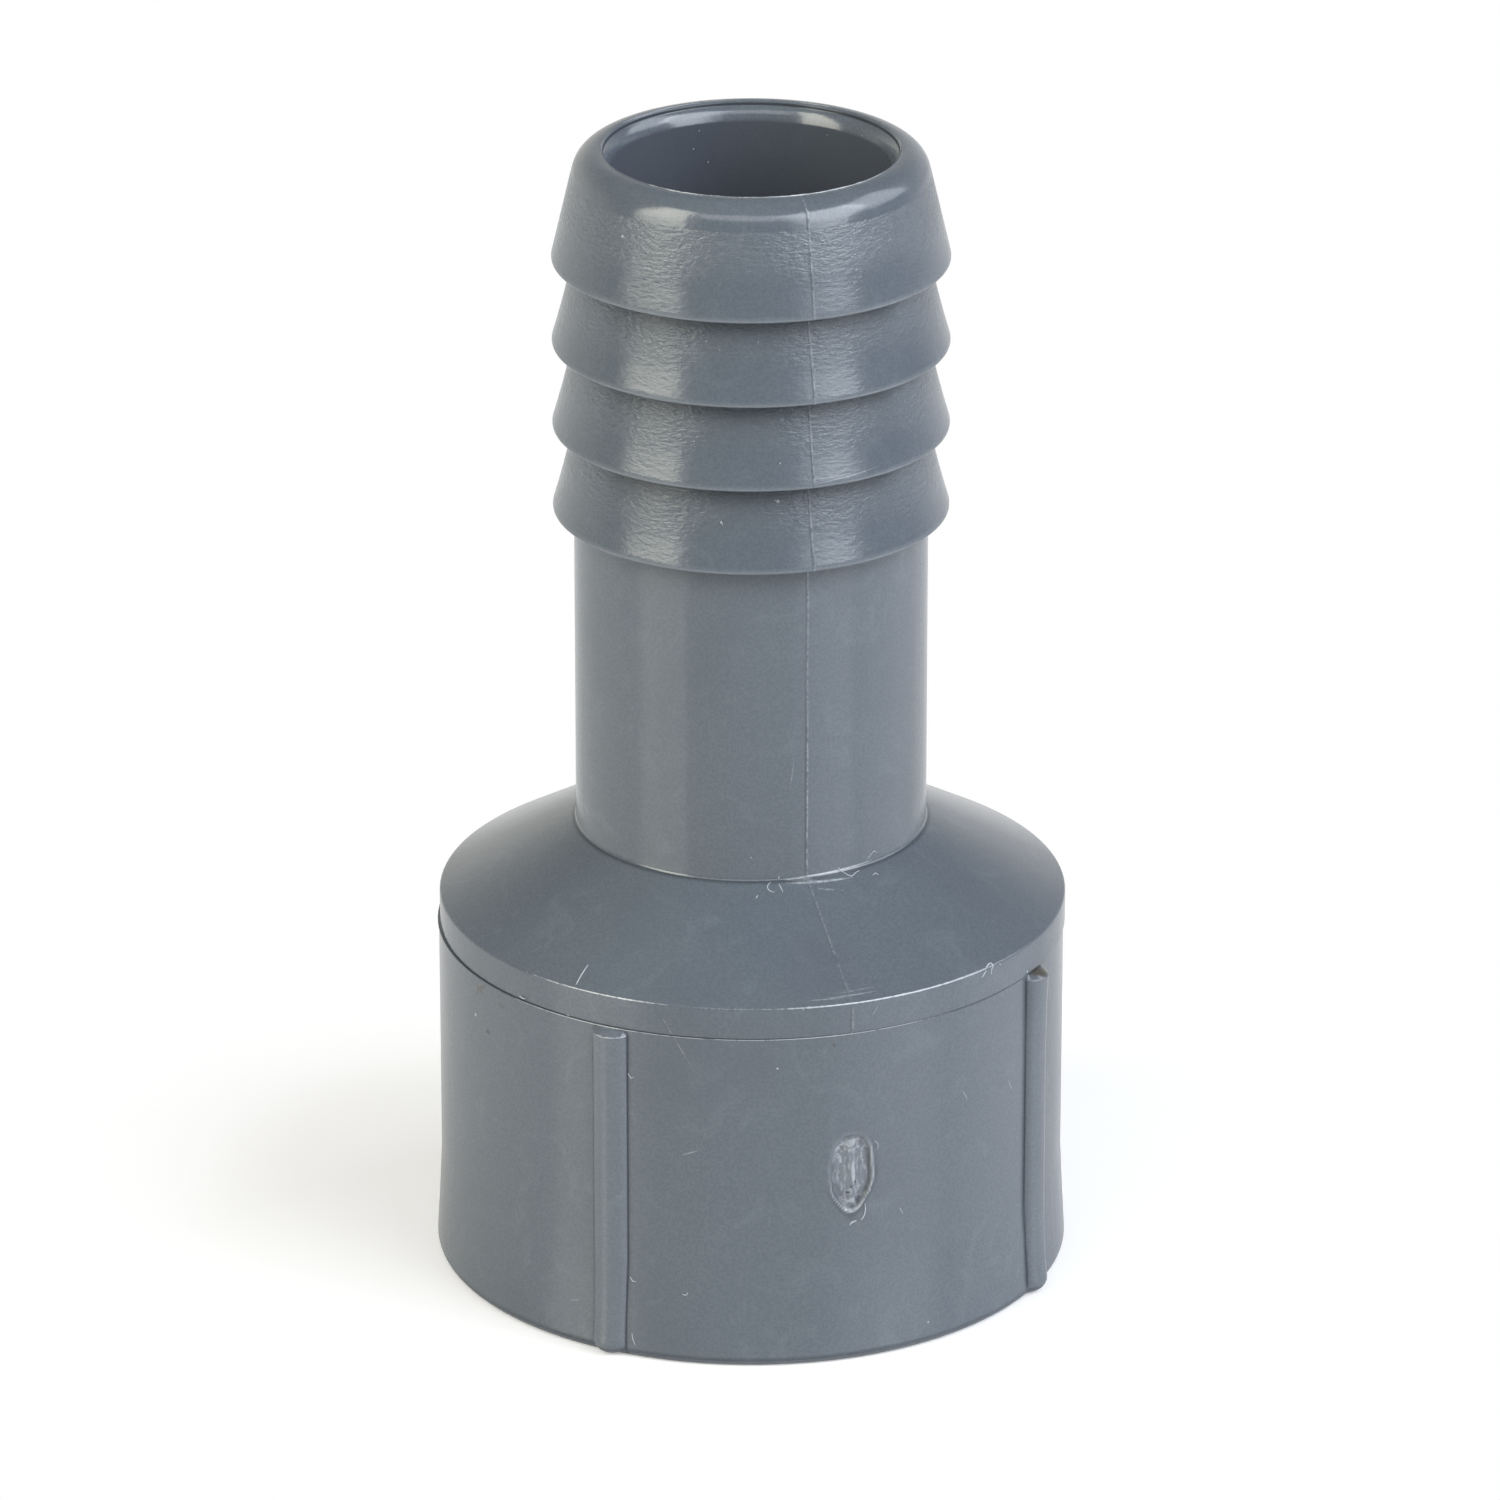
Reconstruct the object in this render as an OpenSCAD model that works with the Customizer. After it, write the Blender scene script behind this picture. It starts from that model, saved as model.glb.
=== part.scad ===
// Threaded hose barb: an insert adapter moulded in one piece.
// The open, threaded socket stands on z = 0 and the barbed hose tail points up +Z.
// The Z axis is the axis of the waterway. The front of the part faces -Y.
// All sizes are in millimetres and degrees.

/* [Socket] */
// Outside diameter of the socket's plain wall
socket_d = 27.96; // [25:0.02:34]
// Height of the plain wall, from the open end up to the mould's parting line
wall_h = 15.7; // [10:0.1:26]
// How far the open end flares beyond the plain wall
flare_w = 0.22; // [0.02:0.02:1]
// Height of the open end's flare, its rounded rim included
flare_h = 4.6; // [2:0.1:10]
// Radius of the rounded outer rim of the open end
rim_r = 0.4; // [0.1:0.05:0.8]

/* [Collar] */
// How far the collar band above the parting line stands proud of the plain wall
collar_step = 0.07; // [0.01:0.01:0.4]
// Height of the collar band
collar_h = 1.42; // [0.6:0.02:4]
// Radius of the collar's rounded top edge
collar_edge_r = 0.2; // [0.05:0.05:0.5]

/* [Thread bore] */
// Bore at the crests of the female pipe thread
thread_bore_d = 18.2; // [16:0.1:20]
// Diameter of the countersunk thread entry
entry_d = 21.6; // [20.4:0.1:23.6]
// Angle of the countersunk entry to the axis
entry_angle = 45; // [30:1:60]

/* [Shoulder] */
// Slope of the shoulder cone, outside and inside, above the horizontal
shoulder_angle = 29.4; // [15:0.1:45]
// Wall between the shoulder's outside and inside cones, which sets the thread bore's depth
shoulder_wall = 3.4; // [1.5:0.1:5]
// Radius of the fillet between the shoulder and the neck
neck_fillet_r = 0.4; // [0.1:0.1:1.5]

/* [Hose tail] */
// Outside diameter of the plain neck and of the barbs' roots
neck_d = 15.62; // [14.4:0.02:16.6]
// Length of the plain neck, from the shoulder's corner to the lowest barb
neck_len = 14.69; // [4:0.01:40]
// Diameter over the barbs' crests
barb_d = 17.46; // [17:0.02:20]
// Number of barbs
barb_count = 4; // [1:1:8]
// Distance from one barb to the next
barb_pitch = 3.85; // [2.5:0.05:8]
// Length of the cylindrical land on each crest
barb_land = 0.2; // [0.1:0.05:0.6]
// Radius of each crest's lower edge
barb_edge_r = 0.1; // [0.05:0.05:0.3]
// Distance from the top barb's lower edge to the tip of the tail
nose_len = 5.03; // [3:0.01:10]
// Radius of the rounded nose
nose_r = 1.2; // [0.5:0.05:1.3]

/* [Waterway] */
// Bore through the hose tail
bore_d = 12.2; // [9:0.1:12.6]
// Diameter of the lead-in at the tip of the tail
lead_in_d = 13.28; // [12.7:0.02:13.6]
// Height of the lead-in
lead_in_h = 0.74; // [0.2:0.02:1.5]

/* [Grip ribs] */
// Number of grip ribs on the socket
rib_count = 4; // [2:1:12]
// Radius of a rib's round back
rib_r = 0.9; // [0.6:0.05:1.4]
// Height of a rib above the wall
rib_h = 0.6; // [0.3:0.05:0.8]
// Radius of the fillets at a rib's root
rib_root_r = 0.25; // [0.1:0.05:0.5]
// Height of a rib's round foot above the open end
rib_lift = 0.1; // [0.05:0.05:1]
// Turn of the first rib from the +X axis
rib_turn = -26.6; // [-45:0.1:45]

/* [Hidden] */

grey_pvc = [0.43, 0.47, 0.51];
round_fn = 120;
arc_steps = 6;
nose_steps = 12;
// Cuts and buried ends run on past their faces by this much
overrun = 1;

wall_r = socket_d / 2;
flare_r = wall_r + flare_w;
collar_r = wall_r + collar_step;
thread_r = thread_bore_d / 2;
entry_r = entry_d / 2;
neck_r = neck_d / 2;
crest_r = barb_d / 2;
bore_r = bore_d / 2;
lead_in_r = lead_in_d / 2;

// Heights, counted up from the open end
collar_top = wall_h + collar_h;
entry_h = (entry_r - thread_r) / tan(entry_angle);
shoulder_slope = tan(shoulder_angle);
corner_z = collar_top + (collar_r - neck_r) * shoulder_slope;
thread_depth = collar_top + (collar_r - thread_r) * shoulder_slope - shoulder_wall / cos(shoulder_angle);
inner_corner_z = thread_depth + (thread_r - bore_r) * shoulder_slope;
first_barb_z = corner_z + neck_len;
top_barb_z = first_barb_z + (barb_count - 1) * barb_pitch;
tip_z = top_barb_z + nose_len;

// Lean of the flared wall, which the lower part of each rib follows
flare_angle = atan(flare_w / (flare_h - rim_r));
// Distance of a rib's own axis from the part's axis
rib_axis = wall_r + rib_h - rib_r;
// Length of a rib along the flare, down to the centre of its round foot
lean_len = (flare_h - rib_lift - rib_r) / cos(flare_angle);

// Points of an arc in the plane of the profile, from angle a to angle b
function arc(centre, r, a, b, steps) =
    [for (i = [0:steps]) centre + r * [cos(a + (b - a) * i / steps), sin(a + (b - a) * i / steps)]];

// Angle at which a line from point p touches a circle, on the circle's outer side
function touch_angle(p, centre, r) =
    let (d = p - centre)
    atan2(d[1], d[0]) + acos(r / norm(d));

// Outside of the socket: rounded rim, flare, plain wall
socket_outline = concat(
    arc([flare_r - rim_r, rim_r], rim_r, -90, 0, arc_steps),
    [[wall_r, flare_h], [wall_r, wall_h]]);

// The collar's top edge turns from the vertical band into the shoulder cone
collar_edge_back = collar_edge_r * tan((90 - shoulder_angle) / 2);
collar_outline = concat(
    [[collar_r, wall_h]],
    arc([collar_r - collar_edge_r, collar_top - collar_edge_back], collar_edge_r,
        0, 90 - shoulder_angle, arc_steps));

// The fillet touches the cone below and the neck above
fillet_rise = neck_fillet_r * tan((90 - shoulder_angle) / 2);
neck_outline = concat(
    arc([neck_r + neck_fillet_r, corner_z + fillet_rise], neck_fillet_r,
        270 - shoulder_angle, 180, arc_steps),
    [[neck_r, first_barb_z]]);

// One barb: flat underside, small edge radius and crest land. The next root closes its slope.
function barb_points(z) = concat(
    [[neck_r, z]],
    arc([crest_r - barb_edge_r, z + barb_edge_r], barb_edge_r, -90, 0, arc_steps),
    [[crest_r, z + barb_edge_r + barb_land]]);
barbs_outline = [for (i = [0:barb_count - 1]) each barb_points(first_barb_z + i * barb_pitch)];

// The nose arc ends on the lip and starts where the top barb's slope touches it
nose_centre = [lead_in_r, tip_z - nose_r];
top_crest = [crest_r, top_barb_z + barb_edge_r + barb_land];
nose_start = touch_angle(top_crest, nose_centre, nose_r);
nose_outline = arc(nose_centre, nose_r, nose_start, 90, nose_steps);

module outer_skin() {
    rotate_extrude($fn = round_fn)
        polygon(concat([[0, 0]], socket_outline, collar_outline, neck_outline, barbs_outline,
            nose_outline, [[0, tip_z]]));
}

// Where the small circle of a root fillet lies, touching the wall and the rib's round back
fillet_reach = wall_r + rib_root_r;
fillet_x = (fillet_reach ^ 2 + rib_axis ^ 2 - (rib_r + rib_root_r) ^ 2) / (2 * rib_axis);
fillet_y = sqrt(fillet_reach ^ 2 - fillet_x ^ 2);
buried_share = (wall_r - overrun) / fillet_reach;

// The rib's round back
module rib_round() {
    translate([rib_axis, 0])
        circle(r = rib_r, $fn = round_fn);
}

// The web of plastic that fills the two corners beside a rib
module rib_web() {
    difference() {
        polygon([[rib_axis, 0],
            [fillet_x, fillet_y], [fillet_x * buried_share, fillet_y * buried_share],
            [fillet_x * buried_share, -fillet_y * buried_share], [fillet_x, -fillet_y]]);
        for (side = [-1, 1])
            translate([fillet_x, side * fillet_y])
                circle(r = rib_root_r, $fn = round_fn);
    }
}

module rib_section() {
    rib_round();
    rib_web();
}

// The rib stands straight on the plain wall, leans out with the flare, and ends in a ball
module rib() {
    translate([0, 0, flare_h - rib_h])
        linear_extrude(wall_h - flare_h + rib_h)
            rib_section();
    translate([wall_r, 0, flare_h])
        rotate([0, -flare_angle, 0])
            translate([-wall_r, 0, -lean_len]) {
                linear_extrude(lean_len + rib_h)
                    rib_section();
                translate([rib_axis, 0, 0])
                    sphere(r = rib_r, $fn = round_fn);
            }
}

module grip_ribs() {
    for (i = [0:rib_count - 1])
        rotate(rib_turn + i * 360 / rib_count)
            rib();
}

// Thread bore with its countersunk entry, the inner shoulder and the tail's bore
module waterway() {
    rotate_extrude($fn = round_fn)
        polygon([[0, -overrun], [entry_r + overrun * tan(entry_angle), -overrun],
            [thread_r, entry_h], [thread_r, thread_depth], [bore_r, inner_corner_z],
            [bore_r, tip_z - lead_in_h], [lead_in_r, tip_z], [lead_in_r, tip_z + overrun],
            [0, tip_z + overrun]]);
}

module barb_body() {
    color(grey_pvc)
        difference() {
            union() {
                outer_skin();
                grip_ribs();
            }
            waterway();
        }
}

barb_body();
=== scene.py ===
# %% [markdown]
# # A moulded hose barb, dressed for its photograph
# The fitting joins a soft hose to a threaded pipe. It is one piece of grey rigid vinyl, squirted hot
# into a steel mould and opened again seconds later, so every mark on it tells how the mould works.
# The exact solid comes from the CAD frame. This lesson grows one finer skin over it, with what the
# mould left behind: the parting line, the gate scar, the flash, the rubbed ribs and the pipe thread.

import math

import bpy
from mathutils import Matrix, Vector


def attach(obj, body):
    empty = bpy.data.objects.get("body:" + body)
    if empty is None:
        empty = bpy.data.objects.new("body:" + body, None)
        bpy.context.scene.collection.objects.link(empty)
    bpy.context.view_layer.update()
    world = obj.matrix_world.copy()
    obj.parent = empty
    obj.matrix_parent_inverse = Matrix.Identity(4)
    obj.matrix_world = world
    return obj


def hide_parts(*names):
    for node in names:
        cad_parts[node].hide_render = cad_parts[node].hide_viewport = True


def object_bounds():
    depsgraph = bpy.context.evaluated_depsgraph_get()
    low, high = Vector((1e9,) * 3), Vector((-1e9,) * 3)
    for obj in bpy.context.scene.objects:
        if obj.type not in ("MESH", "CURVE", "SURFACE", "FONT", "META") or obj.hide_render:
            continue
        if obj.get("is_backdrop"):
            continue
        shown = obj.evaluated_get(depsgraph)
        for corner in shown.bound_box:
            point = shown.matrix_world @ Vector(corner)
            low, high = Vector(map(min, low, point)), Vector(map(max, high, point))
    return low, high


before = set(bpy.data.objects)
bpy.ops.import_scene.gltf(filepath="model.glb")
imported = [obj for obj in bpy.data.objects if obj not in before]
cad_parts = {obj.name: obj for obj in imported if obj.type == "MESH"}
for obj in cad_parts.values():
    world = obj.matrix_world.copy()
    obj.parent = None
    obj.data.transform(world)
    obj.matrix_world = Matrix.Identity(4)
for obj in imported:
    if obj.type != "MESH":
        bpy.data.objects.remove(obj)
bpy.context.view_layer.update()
MM = 0.001

# %% [markdown]
# ## The sizes that matter
# All lengths here are in millimetres, because that is how such a fitting is drawn and gauged. The
# skin must follow the solid, so its radii and heights are the same ones: a hose, a clamp or a pipe
# would touch the part at exactly these places.

# %% Sizes
WALL_R, WALL_H = 13.98, 15.7
FLARE_R, FLARE_H, RIM_R = 14.2, 4.7, 0.42
COLLAR_R, CONE_R, COLLAR_TOP = 13.995, 14.05, 17.12
CONE_ANGLE = 29.4
CONE_SLOPE = math.tan(math.radians(CONE_ANGLE))
NECK_R, CORNER_Z = 7.81, 20.64
BARB_R, FIRST_BARB, BARB_PITCH, BARBS = 8.73, 35.33, 3.85, 4
NOSE_R, LIP_R, TIP_Z = 1.2, 6.64, 51.9
BORE_R, LEAD_Z = 6.1, 51.04
ENTRY_R, INNER_Z, INNER_R = 10.8, 16.25, 8.66
THREAD_PITCH, THREAD_DEPTH, THREAD_R = 25.4 / 14, 1.42, 9.16
RIB_ANGLE, RIB_R, WAIST_Z, WAIST_REACH = -26.25, 0.95, 8.2, 7.5
SEAM_ANGLE, GATE_Z = -71.7, 9.07
print("thread pitch", round(THREAD_PITCH, 3), "mm, barbs from", FIRST_BARB, "to",
      round(FIRST_BARB + (BARBS - 1) * BARB_PITCH, 2), "mm")


# %% [markdown]
# ## The outline, row by row
# A turned shape is a line swung round an axis. Here the line is a list of rows. Each row has a
# radius and a height, and a few notes for later: how far a grip rib stands out there, how strongly
# the parting line shows, whether the row lies inside the thread. Rows are dense where the shape
# bends and sparse where it runs straight, because faces cost memory and a straight wall needs few.

# %% Rows of the outline
PLAIN = dict(rib=0, seam=0, turns=-1, fuzz=0, shift=0, burr=0, crown=0, crease=0, shade=0, crest=0)
rows = []


def row(r, z, **notes):
    rows.append({"r": r, "z": z, **PLAIN, **notes})


def arc_points(cr, cz, radius, start, stop, steps):
    for i in range(steps + 1):
        a = math.radians(start + (stop - start) * i / steps)
        yield cr + radius * math.cos(a), cz + radius * math.sin(a)


def rib_reach(z):
    """Radius over a grip rib: a little waisted, because thick plastic sinks as it cools."""
    return 14.49 + (0.2 if z < WAIST_Z else 0.11) * ((z - WAIST_Z) / WAIST_REACH) ** 4


def wall_radius(z):
    """Radius of the socket's wall, with its flare towards the open end."""
    lean = max(0.0, (FLARE_H - z) / (FLARE_H - RIM_R))
    return WALL_R + (FLARE_R - WALL_R) * lean ** 1.15


# bottom face and rounded rim
row(ENTRY_R, 0)
row(ENTRY_R + 0.15, 0)
row(FLARE_R - RIM_R - 0.1, 0)
# the rim's rows between 0.25 and 0.4 mm carry painted shade, a dark line just above the burr
for r, z in arc_points(FLARE_R - RIM_R, RIM_R, RIM_R, -90, -6, 9):
    row(r, z, rib=rib_reach(z) if z > 0.06 else 0, burr=0.4 if z < 0.15 else 0,
        crease=0.5 if 0.25 < z < 0.4 else 0)
# flared and plain wall, with close rows round the ribs' feet and the gate
heights = [0.5 + 0.11 * i for i in range(15)] + [2.3, 2.8, 3.4, 4.0, 4.4, 4.7, 5.2, 6.0, 6.7]
heights += [6.95 + 0.11 * i for i in range(40)] + [11.6, 12.4, 13.3, 14.2, 15.0, 15.3]
for z in heights:
    row(wall_radius(z), z, rib=rib_reach(z))
# the ribs' slanted tops, and the thin burr on the wall's upper edge
for z, back, crown in ((15.38, 0, 0), (15.41, 0.01, 1), (15.44, 0.05, 0.8), (15.5, 0.14, 0),
                       (15.58, 0.26, 0), (15.63, 0.36, 0), (15.65, 0.42, 0)):
    row(WALL_R, z, rib=rib_reach(z) - back, crown=crown)
row(WALL_R + 0.02, WALL_H - 0.025, shift=-0.7, burr=1)
row(WALL_R + 0.01, WALL_H, shift=-0.7, burr=1)
print("rows up to the parting line:", len(rows))

# %% [markdown]
# ## Collar, cone and neck
# Above the horizontal parting line the other half of the mould begins. Two steel halves never meet
# quite true, so the collar sits a few hundredths of a millimetre to one side. That is why the line
# under it looks like a ledge on one side and like an overhang on the other.

# %% Rows of the collar, the cone and the neck
def cone_z(r):
    """Height of the cone at a radius."""
    return COLLAR_TOP + (CONE_R - r) * CONE_SLOPE


# the two lowest collar rows carry painted shade: the shadow under the collar's overhang
row(COLLAR_R - 0.04, WALL_H + 0.01, seam=0.3, shift=1, crease=0.7)
row(COLLAR_R - 0.04, WALL_H + 0.03, seam=0.7, shift=1, crease=0.7)
row(COLLAR_R, WALL_H + 0.06, seam=1, shift=1)
row(COLLAR_R, 16.3, seam=0.9, shift=1)
row(COLLAR_R, 16.8, seam=0.5, shift=1)
EDGE = 0.13
edge_back = EDGE * math.tan(math.radians((90 - CONE_ANGLE) / 2))
edge_arc = arc_points(COLLAR_R - EDGE, COLLAR_TOP + 0.03 - edge_back, EDGE, 0, 90 - CONE_ANGLE, 5)
for k, (r, z) in enumerate(edge_arc):
    row(r, z, seam=0.1, shift=1, burr=(0.2, 0.6, 1, 1, 0.6, 0.3)[k])
row(13.86, cone_z(13.86), seam=0.1, shift=1, burr=0.2)
row(13.8, cone_z(13.8), seam=0.1, shift=1)
for r in (13.5, 12.6, 11.4, 10.2, 9.2, 8.7, 8.4):
    row(r, cone_z(r), seam=0.65, shift=max(0, (r - 10) / 4))
FILLET = 0.2
rise = FILLET * math.tan(math.radians((90 - CONE_ANGLE) / 2))
fillet_arc = arc_points(NECK_R + FILLET, CORNER_Z + rise, FILLET, 270 - CONE_ANGLE, 180, 7)
row(NECK_R + 0.25, CORNER_Z - 0.25 * CONE_SLOPE, seam=0.5)
# the fillet's rows on its cone side carry painted shade
for k, (r, z) in enumerate(fillet_arc):
    row(r, z, seam=0.8, crease=(0.8, 0.8, 0.4, 0, 0, 0, 0, 0)[k])
for z in (21.2, 21.8, 24, 27, 30, 33):
    row(NECK_R, z, seam=1)
for z, shade in ((34, 0.04), (34.6, 0.09), (35.1, 0.2)):
    row(NECK_R, z, seam=1, shade=shade)
print("rows up to the first barb:", len(rows))

# %% [markdown]
# ## Four barbs and a nose
# A barb is a ramp with a cliff behind it. The hose slides up the ramp easily and then catches on
# the cliff. The crest keeps a land a few hundredths of a millimetre long, since a knife edge would
# not fill with plastic. The nose rounds over in one arc that starts on a tangent to the last ramp.
# Each cliff overhangs the next ramp and keeps light off its root. The photo shows that as a dark
# band, so the rows there carry a painted shade, strongest right under the cliff, on top of the
# barb's own shadow.

# %% Rows of the hose tail
# the ramps' hollow, the crests' land and edge radius, and the flash that stands on the lip
RAMP_SINK, LAND, CREST_EDGE, FLASH = 0.05, 0.16, 0.1, 0.03


def shade_under(depth):
    """How much light the overhanging barb keeps off the ramp at a depth below it."""
    return 0.27 * math.exp(-depth / 0.12) + 0.6 * math.exp(-(depth / 1.35) ** 2)


for i in range(BARBS):
    low = FIRST_BARB + i * BARB_PITCH
    row(NECK_R, low - (0 if i else 0.02), seam=0.8, shade=shade_under(0) if i else 0.4)
    row(NECK_R + 0.04, low, seam=0.6, shade=0.5)
    row(BARB_R - 0.16, low, seam=0.6)
    # the crest note paints a highlight along each crest's lower edge
    for r, z in arc_points(BARB_R - CREST_EDGE, low + CREST_EDGE, CREST_EDGE, -90, 0, 5):
        row(r, z, seam=0.7, crest=1)
    row(BARB_R, low + LAND, seam=1, crest=0.5)
    if i < BARBS - 1:
        for t in (0.04, 0.2, 0.4, 0.54, 0.66, 0.76, 0.84, 0.91, 0.96):
            sink = RAMP_SINK * 4 * t * (1 - t)
            row(BARB_R + (NECK_R - BARB_R) * t - sink, low + LAND + (BARB_PITCH - LAND) * t, seam=1,
                shade=shade_under((BARB_PITCH - LAND) * (1 - t)))
nose_z = TIP_Z - NOSE_R
crest_r, crest_z = BARB_R, FIRST_BARB + (BARBS - 1) * BARB_PITCH + LAND
reach = math.hypot(crest_r - LIP_R, crest_z - nose_z)
start = math.degrees(math.atan2(crest_z - nose_z, crest_r - LIP_R) + math.acos(NOSE_R / reach))
touch_r = LIP_R + NOSE_R * math.cos(math.radians(start))
touch_z = nose_z + NOSE_R * math.sin(math.radians(start))
for t in (0.04, 0.2, 0.4, 0.6, 0.8, 0.95):
    row(crest_r + (touch_r - crest_r) * t, crest_z + (touch_z - crest_z) * t, seam=1)
for r, z in arc_points(LIP_R, nose_z, NOSE_R, start, 88, 16):
    row(r, z - FLASH, seam=1)
print("nose starts at", round(start, 1), "degrees; rows so far:", len(rows))

# %% [markdown]
# ## The mouth, the bore and the thread
# A thin ring of flash stands on the lip where the core pin met the mould. Behind it comes a groove
# no wider than a hair, then the lead-in. The thread's rows climb as they go round: every row keeps
# its own place on the profile of the thread, so crests and roots come out as clean lines.

# %% Rows of the mouth and the inside
# the rows round the hair-thin groove carry painted shade, a dark ring behind the flash
for r, z, notes in (
        (LIP_R - 0.03, 51.865, {"fuzz": 0.3, "burr": 0.6}), (LIP_R - 0.05, 51.9, {"fuzz": 1, "burr": 1}),
        (LIP_R - 0.085, 51.9, {"fuzz": 1, "burr": 0.9}), (LIP_R - 0.11, 51.86, {"fuzz": 0.6}),
        (LIP_R - 0.15, 51.83, {}), (LIP_R - 0.17, 51.81, {"crease": 0.7}),
        (LIP_R - 0.18, 51.76, {"crease": 1}), (LIP_R - 0.185, 51.7, {"crease": 1}),
        (LIP_R - 0.2, 51.66, {"crease": 0.3}), (6.41, 51.64, {}), (6.31, 51.53, {}),
        (6.22, 51.4, {}), (6.18, 51.3, {}), (6.15, 51.21, {}), (6.12, 51.12, {}),
        (6.108, 51.08, {}), (BORE_R, LEAD_Z, {}), (BORE_R, 50.98, {})):
    row(r, z, **notes)
corner = INNER_Z + (INNER_R - BORE_R) * CONE_SLOPE
for z in (50.5, 46, 40, 34, 28, 23, corner + 0.5, corner + 0.15):
    row(BORE_R, z)
for r in (BORE_R + 0.08, BORE_R + 0.4, 7.2, 8.2, INNER_R - 0.1):
    row(r, INNER_Z + (INNER_R - r) * CONE_SLOPE)
FORM = (0.0, 0.04, 0.25, 0.46, 0.54, 0.75, 0.96)
turn_count = math.ceil(INNER_Z / THREAD_PITCH) + 1
for turn in reversed(range(turn_count + 1)):
    for place in reversed(FORM if turn < turn_count else FORM[:1]):
        row(INNER_R, 0, turns=turn + place)
row(ENTRY_R, 0)
print("turns of thread:", turn_count - 1, "- rows in all:", len(rows))

# %% [markdown]
# ## Where the columns stand
# The rows are swung round the axis in steps, and each step is a column of points. Even steps would
# waste most of them. The columns crowd where something narrow runs up the wall, which is at the
# flanks of the four ribs, along the two parting lines and across the gate.

# %% Angles of the columns
rib_steps = (0, 0.6, 1.2, 1.8, 2.4, 2.8, 3.05, 3.2, 3.32, 3.44, 3.56, 3.68, 3.8, 3.95, 4.2, 4.7, 5.6)
gate_steps = (0, 0.15, 0.3, 0.5, 0.75, 1.0, 1.35, 1.7, 2.05, 2.4, 2.75, 3.1, 3.45, 3.8, 4.15, 4.6, 5.4)
seam_steps = (0, 0.15, 0.3, 0.5, 0.75, 1.1, 1.7)
WIDEST_STEP = 2.7
angles = set()
for centre, steps in [(RIB_ANGLE + 90 * k, rib_steps) for k in range(4)] + [
        (SEAM_ANGLE, gate_steps), (SEAM_ANGLE + 180, seam_steps)]:
    for aside in steps:
        angles.update({round((centre + aside) % 360, 3), round((centre - aside) % 360, 3)})
angles.update({0.0, 360.0})
angles = sorted(angles)
filled = []
for here, there in zip(angles, angles[1:]):
    parts = max(1, round((there - here) / WIDEST_STEP))
    filled += [here + (there - here) * k / parts for k in range(parts)]
angles = [math.radians(a) for a in filled + [360.0]]
print("columns:", len(angles), "faces to come:", (len(angles) - 1) * (len(rows) - 1))

# %% [markdown]
# ## Notes for the node tree
# The rows and the column angles go into one small mesh of loose points. Each note becomes a named
# attribute, which is how a node tree reads a table: it looks up the point with the right number.

# %% A mesh of loose points that holds the rows and the angles
plan = bpy.data.meshes.new("skin_plan")
points = [(r["r"], 0.0, r["z"]) for r in rows] + [(0.0, 0.0, 0.0)] * len(angles)
plan.from_pydata(points, [], [])
for name in PLAIN:
    note = plan.attributes.new(name, "FLOAT", "POINT")
    note.data.foreach_set("value", [r[name] for r in rows] + [0.0] * len(angles))
note = plan.attributes.new("angle", "FLOAT", "POINT")
note.data.foreach_set("value", [0.0] * len(rows) + angles)
print("points in the plan:", len(plan.vertices), "- notes:", sorted(a.name for a in plan.attributes))

# %% [markdown]
# ## Small helpers for building node trees
# A node tree is easier to read as sums than as hundreds of separate lines. The helpers below make a
# node, join what comes in, and hand back its result, so a formula can be written nearly as a formula.

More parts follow.
